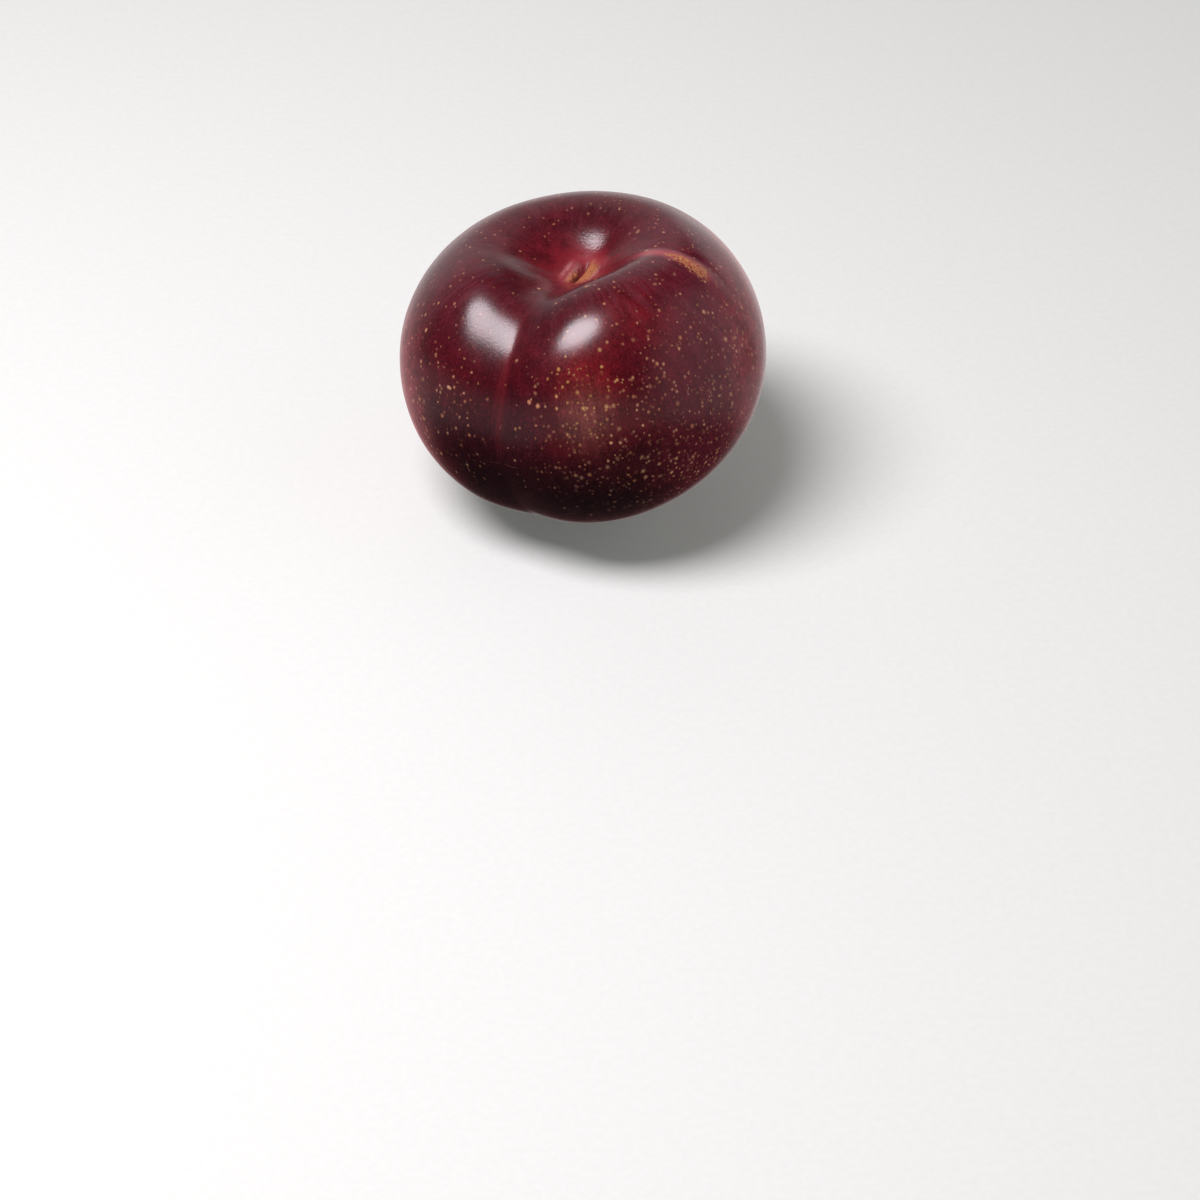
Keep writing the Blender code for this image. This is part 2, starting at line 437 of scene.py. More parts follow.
def ridge(tree, value, width, middle=0.0):           # 1 at the middle value, 0 beyond the width
    return ease(tree, calc(tree, "ABSOLUTE", calc(tree, "SUBTRACT", value, middle)), width, 0.0)


skinColours = {
    "burgundy": "360813",
    "crimson": "560812",
    "plum": "601527",
    "rose": "742430",
    # painted rim glow on the sides
    "paintedRimGlow": "a03a46",
    # painted shade, laid low on the front
    "paintedShade": "17040a",
    "cavityRed": "741c26",
    "thinRed": "701219",
    "thinSkin": "74403a",
    "streak": "84303a",
    "sutureLine": "7c1c24",
    "foldLine": "b64a54",
    "russet": "b86c3a",
    "russetSpeck": "dcb060",
    # grey-purple bloom, partly a painted reflection of the room
    "bloom": "7d5560",
    "lenticel": "cc8458",
    "lenticelPale": "e8b088",
    "lenticelYellow": "c6a640",
    "scarHalo": "80202a",
    "scarFlush": "98303a",
    "scarPink": "b87678",
    "scarRed": "9c4444",
    "scarTan": "c27a4a",
    "scarPit": "5a2612",
}
skinNoises = {                   # cells for each mm, detail and roughness
    "slow": (0.07, 2, 0.5),
    "mottle": (0.4, 3, 0.6),
    "fine": (2.4, 3, 0.6),
}
meridianNoises = {               # cells for each radian round the fruit and down it, detail and roughness
    "grain": (150, 60, 2, 0.6),
    "streaks": (66, 8, 3, 0.6),
    "wisps": (20, 5, 3, 0.55),
}


def meridianClouds(tree, around, across, down, detail, roughness):
    stretched = vectorCalc(tree, "MULTIPLY", around, (across, across, down))
    return clouds(tree, stretched, 1.0, detail, roughness)


def skinPlaces(tree):            # where a point of the skin is, and the noises there
    at = SimpleNamespace(upright=stored(tree, "upright"))
    at.right, at.back, at.up = parts(tree, at.upright)
    at.besideSuture, at.besideFold, at.polar = parts(tree, stored(tree, "lines"))
    at.alongSlot, at.acrossSlot, at.fromScar = parts(tree, stored(tree, "scarSpot"))
    at.slow = clouds(tree, at.upright, *skinNoises["slow"])
    at.mottle = clouds(tree, at.upright, *skinNoises["mottle"])
    at.fine = clouds(tree, at.upright, *skinNoises["fine"])
    around = stored(tree, "around")
    at.grain = meridianClouds(tree, around, *meridianNoises["grain"])
    at.streaks = meridianClouds(tree, around, *meridianNoises["streaks"])
    at.wisps = meridianClouds(tree, around, *meridianNoises["wisps"])
    return at


# A range below is where a colour starts and where it is full, and two more numbers are its least
# and its most. It is in mm from the body's middle or from a mark, or in values of a noise.
zones = {
    "crimsonSlow": (0.38, 0.62, 0.25, 1.0),
    "burgundyRight": (-6, -22, 0.0, 0.6),
    "plumRight": (7, 22),
    "plumWisps": (0.3, 0.7, 0.6, 0.9),
    "roseUp": (8, 22, 0.0, 0.3),
    "rimGlowRight": (21, 30),
    "rimGlowLeft": (-23, -31, 0.0, 0.9),
    "rimGlowUp": (-30, -16),
    "rimGlowMottle": (0.3, 0.6, 0.7, 1.0),
    "cavityPolar": (28, 8),      # degrees
    "cavityMottle": (0.35, 0.65, 0.5, 0.85),
    "darkWisps": (0.3, 0.7, 0.65, 1.0),
}
# darker patches of skin; the last one, low on the front, is painted shade
darkSkinAndShadePatches = (                  # right, back and up of the middle, the three half sizes, strength
    ((-14.0, -23.5, 3.0), (14.0, 12.0, 20.0), 1.0),
    ((-9.0, -4.0, 21.5), (10.0, 9.0, 6.0), 0.8),
    ((-1.0, -15.0, 19.5), (8.0, 8.0, 7.0), 0.8),
    ((6.0, 13.0, 20.0), (9.0, 6.0, 6.0), 0.6),
    ((9.5, -25.0, 11.0), (8.0, 8.0, 12.0), 0.6),
    # painted shade low on the front
    ((5.0, -30.0, 0.5), (10.0, 8.0, 7.0), 0.8),
)


def zoneColours(tree, at):       # the broad zones of colour
    hue = skinColours
    colour = blend(tree, ease(tree, at.slow, *zones["crimsonSlow"]), hue["burgundy"], hue["crimson"])
    colour = blend(tree, ease(tree, at.right, *zones["burgundyRight"]), colour, hue["burgundy"])
    plum = ease(tree, at.right, *zones["plumRight"])
    plum = times(tree, plum, ease(tree, at.wisps, *zones["plumWisps"]))
    colour = blend(tree, plum, colour, hue["plum"])
    colour = blend(tree, ease(tree, at.up, *zones["roseUp"]), colour, hue["rose"])
    # painted rim glow: the left and right sides are lighter rose, where grazing light shines through the
    # skin
    rimGlow = most(tree, ease(tree, at.right, *zones["rimGlowRight"]), ease(tree, at.right, *zones["rimGlowLeft"]))
    rimGlow = times(tree, rimGlow, ease(tree, at.up, *zones["rimGlowUp"]), ease(tree, at.mottle, *zones["rimGlowMottle"]))
    colour = blend(tree, rimGlow, colour, hue["paintedRimGlow"])
    cavityRed = ease(tree, at.polar, *zones["cavityPolar"])
    cavityRed = times(tree, cavityRed, ease(tree, at.mottle, *zones["cavityMottle"]))
    colour = blend(tree, cavityRed, colour, hue["cavityRed"])
    wispy = ease(tree, at.wisps, *zones["darkWisps"])
    for centre, size, strength in darkSkinAndShadePatches:
        dark = times(tree, patch(tree, at.upright, centre, size), wispy, strength)
        colour = blend(tree, dark, colour, hue["burgundy"])
    return colour


# painted shade low on the front: where it starts and ends
shade = {
    "tilt": 0.2,                 # it starts lower on the right
    "up": (7, -8),
    "rightEdge": (18, 6, 0.0, 0.95),
    "leftEdge": (-26, -19),
    "back": (-8, -18),
}


def shadeFront(tree, at, colour):            # painted shade: nearly black low on the front
    shaded = ease(tree, calc(tree, "MULTIPLY_ADD", at.right, shade["tilt"], at.up), *shade["up"])
    shaded = times(tree, shaded, ease(tree, at.right, *shade["rightEdge"]))
    shaded = times(tree, shaded, ease(tree, at.right, *shade["leftEdge"]))
    at.shaded = times(tree, shaded, ease(tree, at.back, *shade["back"]))
    return blend(tree, at.shaded, colour, skinColours["paintedShade"])


thinSkin = {                     # patches have a centre and half sizes
    "red": ((2.6, -25.6, 14.0), (9.0, 9.0, 9.0)),
    "shoulder": ((11.0, -17.0, 19.5), (9.0, 8.0, 7.0)),
    "shoulderStrength": 0.7,
    "mottle": (0.3, 0.7, 0.6, 1.0),
    "dusty": ((1.8, -28.3, 8.8), (6.4, 8.0, 9.0)),
    "dustyStrength": 0.8,
    "streaks": (0.3, 0.7, 0.5, 1.0),
}


def thinFront(tree, at, colour):             # thin over the flesh: bright red above, dusty below
    at.thinRed = patch(tree, at.upright, *thinSkin["red"])
    shoulder = times(tree, patch(tree, at.upright, *thinSkin["shoulder"]), thinSkin["shoulderStrength"])
    redder = times(tree, most(tree, at.thinRed, shoulder), ease(tree, at.mottle, *thinSkin["mottle"]))
    colour = blend(tree, redder, colour, skinColours["thinRed"])
    dusty = patch(tree, at.upright, *thinSkin["dusty"])
    at.dusty = times(tree, dusty, ease(tree, at.streaks, *thinSkin["streaks"]))
    return blend(tree, times(tree, at.dusty, thinSkin["dustyStrength"]), colour, skinColours["thinSkin"])


fineMarks = {
    "shadeFade": -0.9,           # the fine marks fade with the painted shade
    "streaks": (0.5, 0.75),
    "streakStrength": 0.04,
    "dustyStreaks": 0.4,         # stronger where the skin is dusty
    "wisps": (0.5, 0.75),
    "wispStrength": 0.12,
    "specks": (0.5, 0.8),
    "speckStrength": 0.22,
    "brightness": (("grain", 1.5), ("fine", 1.2), ("streaks", 0.45), ("mottle", 1.1)),
}


def addFineMarks(tree, at, colour):          # faint streaks along the meridians and fine mottling
    marks = fineMarks
    lit = calc(tree, "MULTIPLY_ADD", at.shaded, marks["shadeFade"], 1.0)
    strength = calc(tree, "MULTIPLY_ADD", at.dusty, marks["dustyStreaks"], marks["streakStrength"])
    streaks = times(tree, ease(tree, at.streaks, *marks["streaks"]), times(tree, strength, lit))
    colour = blend(tree, streaks, colour, skinColours["streak"])
    wisps = times(tree, ease(tree, at.wisps, *marks["wisps"]), lit, marks["wispStrength"])
    colour = blend(tree, wisps, colour, skinColours["rose"])
    specks = times(tree, ease(tree, at.fine, *marks["specks"]), lit, marks["speckStrength"])
    colour = blend(tree, specks, colour, skinColours["rose"])
    brightness = 1.0
    for name, change in marks["brightness"]:
        fromMean = calc(tree, "SUBTRACT", getattr(at, name), 0.5)
        brightness = calc(tree, "MULTIPLY_ADD", fromMean, change, brightness)
    return vectorCalc(tree, "MULTIPLY", colour, brightness)


sutureMark = {
    "wander": 1.2,               # mm, how far it strays
    "stemFade": (30, 48),        # polar angles, degrees
    "tipFade": (96, 50),
    "darkWidth": 6.0,
    "darkStrength": 0.4,
    "bandWidth": 1.7,
    "bandMiddle": -0.3,
    "bandStrength": 0.5,
    "threads": (0.35, 0.65, 0.2, 0.75),
    "coreWidth": 1.0,
    "coreStrength": 0.2,
}


def markSuture(tree, at, colour):            # a soft red band with finer threads in it
    mark = sutureMark
    beside = calc(tree, "SUBTRACT", at.besideSuture, mark["wander"] / 2)
    beside = calc(tree, "MULTIPLY_ADD", at.slow, mark["wander"], beside)
    zone = times(tree, ease(tree, at.polar, *mark["stemFade"]), ease(tree, at.polar, *mark["tipFade"]))
    dark = times(tree, ridge(tree, beside, mark["darkWidth"]), zone, mark["darkStrength"])
    colour = blend(tree, dark, colour, skinColours["burgundy"])
    band = times(tree, ridge(tree, beside, mark["bandWidth"], mark["bandMiddle"]), zone)
    band = times(tree, band, ease(tree, at.streaks, *mark["threads"]), mark["bandStrength"])
    colour = blend(tree, band, colour, skinColours["sutureLine"])
    core = times(tree, ridge(tree, beside, mark["coreWidth"]), zone, mark["coreStrength"])
    return blend(tree, core, colour, skinColours["sutureLine"])


foldMark = {
    "raggedness": 1.4,           # mm
    "stemFade": (18, 32),        # polar angles, degrees
    "tipFade": (61, 49),
    "width": 2.3,
    "strength": 0.9,
    "tear": 2.8,                 # mm, how far the russet's edge strays
    "russetShift": 0.2,
    "russetWidth": (34, 52, 0.5, 1.9),
    "russetEdge": (1.0, 0.5),
    "russetStart": (34, 40),
    "russetEnd": (56, 51),
    "russetNoise": (0.36, 0.56, 0.2, 0.95),
    "speckNoise": (0.54, 0.66, 0.0, 0.85),
}


def markFold(tree, at, colour):              # a pink line and the russet on its outer stretch
    mark = foldMark
    ragged = calc(tree, "ADD", at.besideFold, fold["markShift"] - mark["raggedness"] / 2)
    ragged = calc(tree, "MULTIPLY_ADD", at.mottle, mark["raggedness"], ragged)
    zone = times(tree, ease(tree, at.polar, *mark["stemFade"]), ease(tree, at.polar, *mark["tipFade"]))
    line = times(tree, ridge(tree, ragged, mark["width"]), zone, mark["strength"])
    colour = blend(tree, line, colour, skinColours["foldLine"])
    torn = calc(tree, "ADD", ragged, mark["russetShift"])
    torn = calc(tree, "MULTIPLY_ADD", calc(tree, "SUBTRACT", at.fine, 0.5), mark["tear"], torn)
    width = ease(tree, at.polar, *mark["russetWidth"])
    shape = ease(tree, calc(tree, "DIVIDE", calc(tree, "ABSOLUTE", torn), width), *mark["russetEdge"])
    shape = times(tree, shape, ease(tree, at.polar, *mark["russetStart"]))
    shape = times(tree, shape, ease(tree, at.polar, *mark["russetEnd"]))
    at.russet = times(tree, shape, ease(tree, at.fine, *mark["russetNoise"]))
    colour = blend(tree, at.russet, colour, skinColours["russet"])
    specks = times(tree, shape, ease(tree, at.fine, *mark["speckNoise"]))
    return blend(tree, specks, colour, skinColours["russetSpeck"])


# bloom on the top and the right cheek, partly a painted reflection of the room
bloom = {
    "topUp": (15, 24),
    "cheekRight": (12, 27),
    "cheekUp": (-4, 12),
    "wisps": (0.3, 0.75, 0.0, 0.2),
    "polar": (16, 30),           # none in the cavity, degrees
}


def addBloomAndReflection(tree, at, colour):              # faint bloom on the top and the right cheek, partly a painted reflection
    cheek = times(tree, ease(tree, at.right, *bloom["cheekRight"]), ease(tree, at.up, *bloom["cheekUp"]))
    covered = most(tree, ease(tree, at.up, *bloom["topUp"]), cheek)
    covered = times(tree, covered, ease(tree, at.wisps, *bloom["wisps"]))
    at.bloom = times(tree, covered, ease(tree, at.polar, *bloom["polar"]))
    return blend(tree, at.bloom, colour, skinColours["bloom"])


scarMark = {                     # mm from the scar, along its slot and across it, the left lip above 0
    "halo": (6.5, 2.2),
    "haloMottle": (0.3, 0.65, 0.4, 0.9),
    "flush": (5.2, 2.4),
    "flushMottle": (0.35, 0.6, 0.45, 0.9),
    "fray": 1.1,
    "bow": 0.22,                 # the ends are round
    "ends": (4.4, 2.0),
    "leftInner": (0.3, 0.6),
    "leftOuter": (3.1, 2.7),
    "leftBack": (2.6, 0.8),
    "leftStrength": 0.65,
    "pinkRidges": ((0.55, 1.05), (0.6, 2.4)),      # widths and middles
    "pinkNoise": (0.3, 0.6, 0.3, 0.8),
    "tanStrip": (0.7, 0.8),
    "tanStripEnd": (0.4, -0.8),
    "rightInner": (-0.1, -0.7),
    "rightOuter": (-3.1, -2.1),
    "tanNoise": (0.32, 0.6, 0.4, 1.0),
    "outerRim": (0.5, -2.6),
    "outerStrength": 0.7,
    "pitWidth": 0.6,
    "pitEnds": (3.6, 1.6),
    "pitBack": (1.5, -1.2, 0.45, 1.0),
}


def paintScar(tree, at, colour):     # a dark slot with a pink lip on its left and a tan one on its right
    hue, mark = skinColours, scarMark
    halo = ease(tree, at.fromScar, *mark["halo"])
    halo = times(tree, halo, ease(tree, at.mottle, *mark["haloMottle"]))
    colour = blend(tree, halo, colour, hue["scarHalo"])
    flush = ease(tree, at.fromScar, *mark["flush"])
    flush = times(tree, flush, ease(tree, at.mottle, *mark["flushMottle"]))
    colour = blend(tree, flush, colour, hue["scarFlush"])
    across = calc(tree, "MULTIPLY_ADD", calc(tree, "SUBTRACT", at.fine, 0.5), mark["fray"], at.acrossSlot)
    fromMiddle = calc(tree, "ABSOLUTE", at.alongSlot)
    bowed = calc(tree, "MULTIPLY_ADD", times(tree, across, across), mark["bow"], fromMiddle)
    ends = ease(tree, bowed, *mark["ends"])

    inner, outer = ease(tree, across, *mark["leftInner"]), ease(tree, across, *mark["leftOuter"])
    leftLip = times(tree, inner, outer, ends, ease(tree, at.alongSlot, *mark["leftBack"]))
    colour = blend(tree, times(tree, leftLip, mark["leftStrength"]), colour, hue["scarRed"])
    pink = most(tree, *[ridge(tree, across, width, middle) for width, middle in mark["pinkRidges"]])
    pink = times(tree, pink, leftLip, ease(tree, at.fine, *mark["pinkNoise"]))
    colour = blend(tree, pink, colour, hue["scarPink"])

    strip = ridge(tree, across, *mark["tanStrip"])
    strip = times(tree, strip, ease(tree, at.alongSlot, *mark["tanStripEnd"]), ends)
    inner, outer = ease(tree, across, *mark["rightInner"]), ease(tree, across, *mark["rightOuter"])
    rightLip = times(tree, inner, outer, ends)
    tan = times(tree, most(tree, strip, rightLip), ease(tree, at.fine, *mark["tanNoise"]))
    colour = blend(tree, tan, colour, hue["scarTan"])
    outerRim = times(tree, ridge(tree, across, *mark["outerRim"]), ends)
    colour = blend(tree, times(tree, outerRim, mark["outerStrength"]), colour, hue["scarPink"])

    pit = times(tree, ridge(tree, across, mark["pitWidth"]), ease(tree, fromMiddle, *mark["pitEnds"]))
    pit = times(tree, pit, ease(tree, at.alongSlot, *mark["pitBack"]))
    at.lips = most(tree, leftLip, rightLip)
    return blend(tree, pit, colour, hue["scarPit"])


lenticels = {
    "small": (0.78, 0.16, 0.28),         # cell size, smallest and largest radius, mm
    "large": (1.35, 0.26, 0.41),
    "smallShare": 1.3,                   # of the crowding
    "largeShare": 0.8,
    "smallStrength": 0.8,
    "smallSeed": 3.7,
    "largeSeed": 11.3,
    "stretch": 0.85,                     # the cells are longer from top to bottom
    "edge": (1.3, 0.1),                  # of the radius
    "brightness": (0.25, 1.0),
    "crowdUp": (20, 6, 0.16, 0.62),      # dense low on the right
    "crowdRight": (-10, 14, 0.75, 1.45),
    "sutureGap": (1.5, 8, 0.15, 1.0),
    "clumpNoise": (0.16, 2, 0.5),        # cells for each mm, detail and roughness
    "clumps": (0.38, 0.62, 0.55, 1.25),
    "scarGap": (5, 11),
    "dustyCrowd": 0.6,
    "cluster": ((1.0, -25.2, 14.0), (5.5, 6.0, 4.5)),
    "clusterCrowd": 1.3,
    "unevenNoise": (2.6, 2, 0.5),        # makes the dots a little uneven
    "unevenShift": 0.28,                 # mm
    "strength": 0.9,
    # the dots fade with the painted shade
    "shadeFade": -0.7,
    "pale": (0.4, 0.6),
    "yellow": 0.7,
}


def dots(tree, place, settings, allowed, seed):      # lenticels of one size
    cell, smallest, largest = settings
    node = tree.nodes.new("ShaderNodeTexVoronoi")
    scale = (1 / cell, 1 / cell, lenticels["stretch"] / cell)
    plug(tree, vectorCalc(tree, "MULTIPLY_ADD", place, scale, (seed, seed, seed)), node.inputs["Vector"])
    node.inputs["Scale"].default_value = 1.0
    chance, sizeChance, brightChance = parts(tree, node.outputs["Color"])
    radius = ease(tree, sizeChance, 0.0, 1.0, smallest / cell, largest / cell)
    inside = ease(tree, calc(tree, "DIVIDE", node.outputs["Distance"], radius), *lenticels["edge"])
    bright = ease(tree, brightChance, 0.0, 1.0, *lenticels["brightness"])
    return times(tree, inside, calc(tree, "LESS_THAN", chance, allowed), bright)


def lenticelCrowd(tree, at):                 # sparse near the stem and the suture
    crowd = ease(tree, at.up, *lenticels["crowdUp"])
    crowd = times(tree, crowd, ease(tree, at.right, *lenticels["crowdRight"]))
    fromSuture = calc(tree, "ABSOLUTE", at.besideSuture)
    crowd = times(tree, crowd, ease(tree, fromSuture, *lenticels["sutureGap"]))
    clumps = clouds(tree, at.upright, *lenticels["clumpNoise"])
    crowd = times(tree, crowd, ease(tree, clumps, *lenticels["clumps"]))
    crowd = times(tree, crowd, ease(tree, at.fromScar, *lenticels["scarGap"]))
    crowd = times(tree, crowd, calc(tree, "MULTIPLY_ADD", at.dusty, lenticels["dustyCrowd"], 1.0))
    cluster = patch(tree, at.upright, *lenticels["cluster"])
    return times(tree, crowd, calc(tree, "MULTIPLY_ADD", cluster, lenticels["clusterCrowd"], 1.0))


def addLenticels(tree, at, colour):
    crowd = lenticelCrowd(tree, at)
    uneven = clouds(tree, at.upright, *lenticels["unevenNoise"], "Color")
    place = vectorCalc(tree, "MULTIPLY_ADD", uneven, [lenticels["unevenShift"]] * 3, at.upright)
    smallCrowd = times(tree, crowd, lenticels["smallShare"])
    small = dots(tree, place, lenticels["small"], smallCrowd, lenticels["smallSeed"])
    largeCrowd = times(tree, crowd, lenticels["largeShare"])
    large = dots(tree, place, lenticels["large"], largeCrowd, lenticels["largeSeed"])
    amount = most(tree, times(tree, small, lenticels["smallStrength"]), large)
    fade = calc(tree, "MULTIPLY_ADD", at.shaded, lenticels["shadeFade"], lenticels["strength"])
    at.dots = times(tree, amount, fade)
    pale = ease(tree, at.mottle, *lenticels["pale"])
    dotColour = blend(tree, pale, skinColours["lenticel"], skinColours["lenticelPale"])
    yellow = times(tree, most(tree, at.dusty, at.thinRed), lenticels["yellow"])
    dotColour = blend(tree, yellow, dotColour, skinColours["lenticelYellow"])
    return blend(tree, at.dots, colour, dotColour)


skinFinish = {
    "roughness": 0.2,
    "roughnessChange": 0.08,
    "bloomRoughness": 0.12,              # added to the skin's
    "scarRoughness": (4.0, 2.6, 0.0, 0.2),
    "leftShoulder": ((-12.5, -14.5, 18.3), (10.0, 10.0, 8.0)),
    "shoulderRoughness": 0.06,
    "lipRoughness": 0.35,
    "russetRoughness": 0.2,
    "sheen": 0.4,
    "sheenRoughness": 0.25,
    "sheenColour": "d84850",
    "reliefUp": (-4, 12),                # the relief fades below
    "streakHeight": 0.003,               # mm
    "poreHeight": 0.005,
    "peelHeight": 0.012,
    "dotHeight": 0.01,
    "fibreHeight": 0.25,                 # on the lips of the scar
    "crinkleHeight": 0.012,              # in the stem cavity
    "crinklePolar": (30, 18),            # degrees
}


def skinRoughness(tree, at):
    smoothest = skinFinish["roughness"] - skinFinish["roughnessChange"] / 2
    rough = calc(tree, "MULTIPLY_ADD", at.fine, skinFinish["roughnessChange"], smoothest)
    rough = calc(tree, "MULTIPLY_ADD", at.bloom, skinFinish["bloomRoughness"], rough)
    rough = calc(tree, "ADD", rough, ease(tree, at.fromScar, *skinFinish["scarRoughness"]))
    shoulder = patch(tree, at.upright, *skinFinish["leftShoulder"])
    rough = calc(tree, "MULTIPLY_ADD", shoulder, skinFinish["shoulderRoughness"], rough)
    dullLips = times(tree, at.lips, skinFinish["lipRoughness"])
    dull = most(tree, dullLips, times(tree, at.russet, skinFinish["russetRoughness"]))
    return calc(tree, "ADD", rough, dull, clamp=True)


def skinRelief(tree, at):
    def fading(source, height):              # a noise's relief, which fades low on the fruit
        return times(tree, source, ease(tree, at.up, *skinFinish["reliefUp"], 0.0, skinFinish[height]))

    height = fading(at.streaks, "streakHeight")
    height = calc(tree, "ADD", fading(at.grain, "poreHeight"), height)
    height = calc(tree, "ADD", fading(at.fine, "peelHeight"), height)
    height = calc(tree, "MULTIPLY_ADD", at.dots, skinFinish["dotHeight"], height)
    height = calc(tree, "MULTIPLY_ADD", times(tree, at.lips, at.fine), skinFinish["fibreHeight"], height)
    crinkle = times(tree, at.fine, ease(tree, at.polar, *skinFinish["crinklePolar"]))
    height = calc(tree, "MULTIPLY_ADD", crinkle, skinFinish["crinkleHeight"], height)
    bump = tree.nodes.new("ShaderNodeBump")
    bump.inputs["Strength"].default_value = 1.0
    bump.inputs["Distance"].default_value = 0.001
    plug(tree, height, bump.inputs["Height"])
    return bump.outputs[0]


def skinMaterial():
    material = bpy.data.materials.new("plumcotSkin")
    material.use_nodes = True
    tree = material.node_tree
    shader = tree.nodes["Principled BSDF"]
    at = skinPlaces(tree)
    colour = zoneColours(tree, at)
    layers = (shadeFront, thinFront, addFineMarks, markSuture, markFold, addBloomAndReflection, paintScar, addLenticels)
    for layer in layers:
        colour = layer(tree, at, colour)
    plug(tree, colour, shader.inputs["Base Color"])
    plug(tree, skinRoughness(tree, at), shader.inputs["Roughness"])
    plug(tree, skinRelief(tree, at), shader.inputs["Normal"])
    shader.inputs["IOR"].default_value = 1.5
    shader.inputs["Sheen Weight"].default_value = skinFinish["sheen"]
    shader.inputs["Sheen Roughness"].default_value = skinFinish["sheenRoughness"]
    shader.inputs["Sheen Tint"].default_value = paint(skinFinish["sheenColour"])
    return material


fruitMesh.materials.append(skinMaterial())
fruit = bpy.data.objects.new("plumcot", fruitMesh)
bpy.context.scene.collection.objects.link(fruit)
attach(fruit, "root")
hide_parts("fruit")
print("skin material ready:", len(fruitMesh.materials[0].node_tree.nodes), "nodes")

floorLook = {
    "size": 6.0,                 # metres
    "colour": "f0f3ee",
    "grainColour": "edf0eb",
    "grainNoise": (900, 2, 0.5),         # cells for each metre, detail and roughness
    "grain": (0.3, 0.7),
    "roughness": 0.7,
    "glow": 0.12,
}


def layFloor():
    mesh = bpy.data.meshes.new("studioFloor")
    half = floorLook["size"] / 2
    corners = [(-half, -half, 0), (half, -half, 0), (half, half, 0), (-half, half, 0)]
    mesh.from_pydata(corners, [], [(0, 1, 2, 3)])
    material = bpy.data.materials.new("paleFloor")
    material.use_nodes = True
    tree = material.node_tree
    shader = tree.nodes["Principled BSDF"]
    place = tree.nodes.new("ShaderNodeTexCoord").outputs["Object"]
    grain = ease(tree, clouds(tree, place, *floorLook["grainNoise"]), *floorLook["grain"])
    speckled = blend(tree, grain, floorLook["colour"], floorLook["grainColour"])
    plug(tree, speckled, shader.inputs["Base Color"])
    shader.inputs["Roughness"].default_value = floorLook["roughness"]
    shader.inputs["Emission Color"].default_value = paint(floorLook["colour"])
    shader.inputs["Emission Strength"].default_value = floorLook["glow"]
    mesh.materials.append(material)
    floor = bpy.data.objects.new("studioFloor", mesh)
    floor.visible_glossy = False     # the skin mirrors the room and not the floor
    bpy.context.scene.collection.objects.link(floor)
    floor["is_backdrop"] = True


layFloor()

view = {
    "elevation": 36.0,
    "lens": 100.0,
    "sensor": 36.0,
    "distance": 0.5509,          # metres
    "frame": 1200,               # pixels across
    "offset": (-16.8, 245.0),    # pixels that the body's middle is right and up of the centre
}
keyLight = {
    "direction": (-0.3943, 0.6026, 0.6938),      # right, up and toward the camera
    "distance": 0.6,             # metres, also the size
    "size": (0.418, 0.226),
    "turn": 10.7,
    "power": 3.7,                # watts
    "colour": (1.0, 0.945, 1.0),
}
room = {                         # brightness by direction: where a part starts and is full, least and most
    "dim": 0.03,                 # where nothing else is
    "beltTilt": (0.07, 0.52),    # the pale belt of table and wall lies lower to the right and the back
    "belt": (0.08, -0.2, 0.0, 0.32),
    "cardDirection": (0.97, -0.09, 0.21),        # right, back and up
    "card": (0.65, 0.86, 0.0, 0.39),
    "leftWall": (0.25, 0.9, 0.0, 0.42),          # toward the back
    "leftWallRight": (0.4, 0.15),
    "leftWallUp": ((0.95, 0.65), (0.7, 0.05, 0.8, 1.0)),
    "rightWall": (0.35, 0.95, 0.0, 0.66),
    "rightWallRight": (0.0, 0.25),
    "rightWallUp": (0.42, 0.16),
    "groundTilt": 0.42,
    "ground": (-0.62, -0.3),     # dark below it
    "glowDirection": (-0.07, -0.2, 0.98),        # the haze beside the key light
    "glow": (0.955, 0.995, 0.0, 0.4),
    "beyondDirection": (0.0, 0.93, -0.37),       # the table beyond the fruit
    "beyond": (0.85, 0.98, 0.0, 0.3),
}


def placeCamera():
    elevation = math.radians(view["elevation"])
    toward = Vector((0, -math.cos(elevation), math.sin(elevation)))
    data = bpy.data.cameras.new("photoView")
    data.lens, data.sensor_width = view["lens"], view["sensor"]
    data.clip_start = 0.01
    camera = bpy.data.objects.new("photoView", data)
    camera.location = bodyMiddle + toward * view["distance"]
    pixel = view["sensor"] / view["frame"]
    yaw, pitch = (math.atan(offset * pixel / view["lens"]) for offset in view["offset"])
    facing = (-toward).to_track_quat("-Z", "Y")
    camera.rotation_mode = "QUATERNION"
    camera.rotation_quaternion = facing @ Quaternion((1, 0, 0), -pitch) @ Quaternion((0, 1, 0), yaw)
    bpy.context.scene.collection.objects.link(camera)
    bpy.context.scene.camera = camera
    return facing


def placeKey(facing):
    direction = Vector(keyLight["direction"]).normalized()
    side = Vector((0, 1, 0)).cross(direction).normalized()
    top = direction.cross(side)
    turn = math.radians(keyLight["turn"])
    wide = side * math.cos(turn) + top * math.sin(turn)
    tall = -side * math.sin(turn) + top * math.cos(turn)
    data = bpy.data.lights.new("keyLight", "AREA")
    data.shape = "ELLIPSE"
    data.size, data.size_y = keyLight["size"]
    data.energy, data.color = keyLight["power"], keyLight["colour"]
    key = bpy.data.objects.new("keyLight", data)
    key.location = bodyMiddle + (facing @ direction) * keyLight["distance"]
    key.rotation_mode = "QUATERNION"
    key.rotation_quaternion = facing @ Matrix((wide, tall, direction)).transposed().to_quaternion()
    bpy.context.scene.collection.objects.link(key)


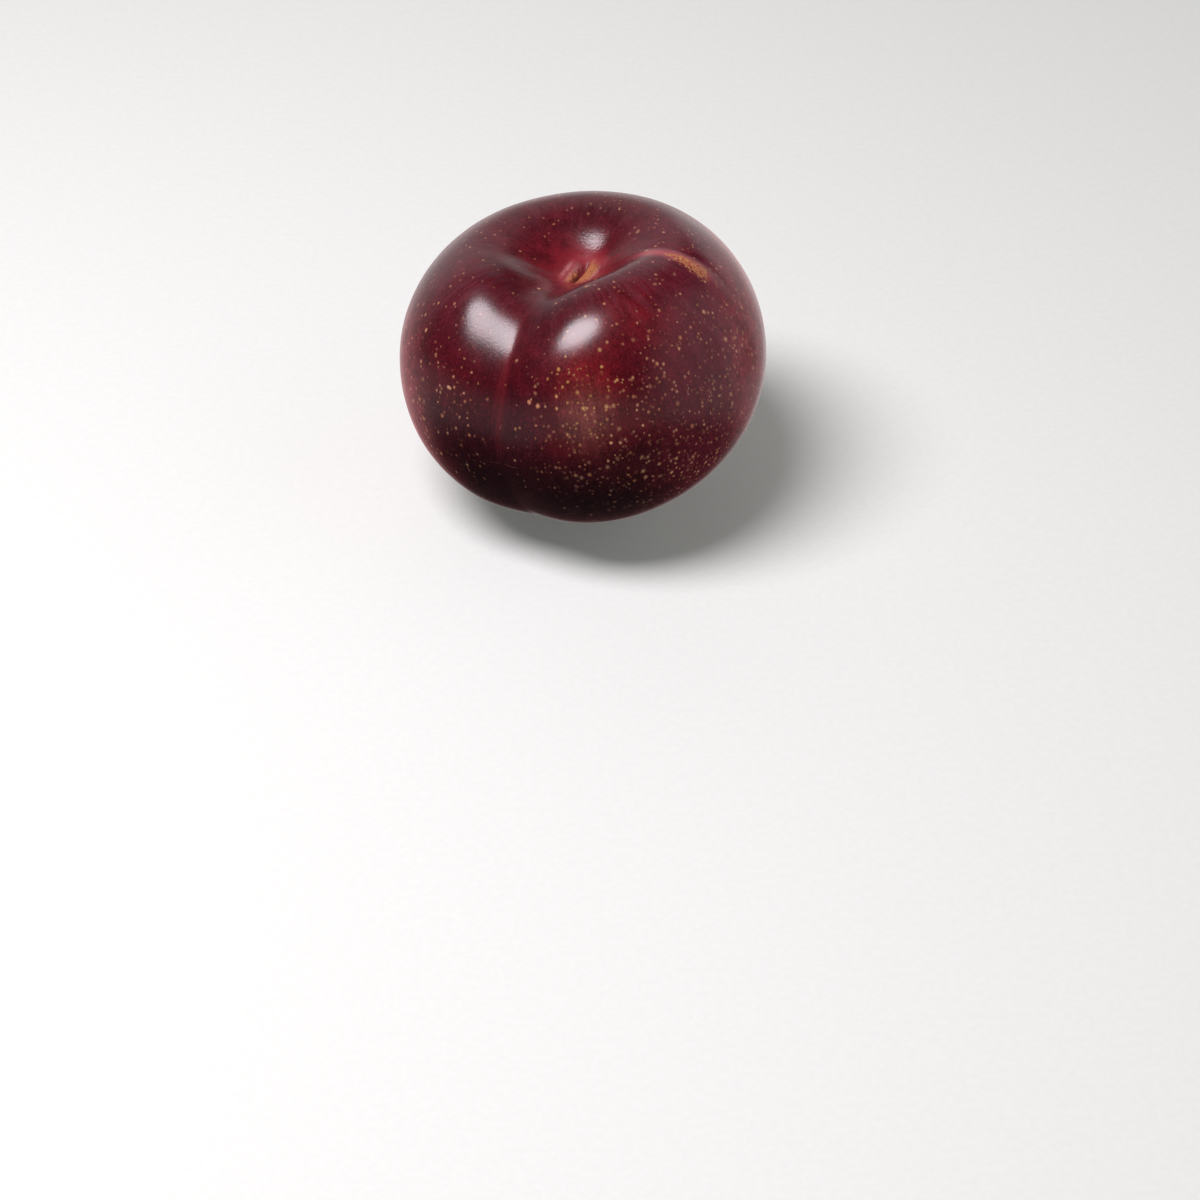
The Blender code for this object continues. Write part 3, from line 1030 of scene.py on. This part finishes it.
def lightRoom():
    world = bpy.data.worlds.new("studioRoom")
    world.use_nodes = True
    bpy.context.scene.world = world
    tree = world.node_tree
    background = tree.nodes["Background"]
    direction = tree.nodes.new("ShaderNodeTexCoord").outputs["Generated"]
    right, back, up = parts(tree, direction)
    tiltRight, tiltBack = room["beltTilt"]
    tilt = calc(tree, "MULTIPLY_ADD", back, tiltBack, calc(tree, "MULTIPLY_ADD", right, tiltRight, up))
    belt = ease(tree, tilt, *room["belt"])
    toCard = vectorCalc(tree, "DOT_PRODUCT", direction, Vector(room["cardDirection"]).normalized())
    card = ease(tree, toCard, *room["card"])
    leftWall = ease(tree, back, *room["leftWall"])
    leftWall = times(tree, leftWall, ease(tree, right, *room["leftWallRight"]))
    for upRange in room["leftWallUp"]:
        leftWall = times(tree, leftWall, ease(tree, up, *upRange))
    rightWall = ease(tree, back, *room["rightWall"])
    rightWall = times(tree, rightWall, ease(tree, right, *room["rightWallRight"]))
    rightWall = times(tree, rightWall, ease(tree, up, *room["rightWallUp"]))
    ground = ease(tree, calc(tree, "MULTIPLY_ADD", back, room["groundTilt"], up), *room["ground"])
    toGlow = vectorCalc(tree, "DOT_PRODUCT", direction, Vector(room["glowDirection"]).normalized())
    toBeyond = vectorCalc(tree, "DOT_PRODUCT", direction, room["beyondDirection"])
    brightest = times(tree, most(tree, belt, card, leftWall, rightWall), ground)
    brightest = most(tree, brightest, ease(tree, toGlow, *room["glow"]))
    brightest = calc(tree, "ADD", brightest, ease(tree, toBeyond, *room["beyond"]))
    background.inputs["Color"].default_value = (1, 1, 1, 1)
    plug(tree, calc(tree, "ADD", brightest, room["dim"]), background.inputs["Strength"])


bpy.context.scene.view_settings.view_transform = "Standard"
facing = placeCamera()
placeKey(facing)
lightRoom()
print("camera and lights placed")

sizes = {"cad": [list(cadLow), list(cadHigh)], "visual": [list(corner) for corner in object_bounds()]}
for name, (low, high) in sizes.items():
    print("size in mm,", name + ":", [round(1000 * (end - start), 2) for start, end in zip(low, high)])
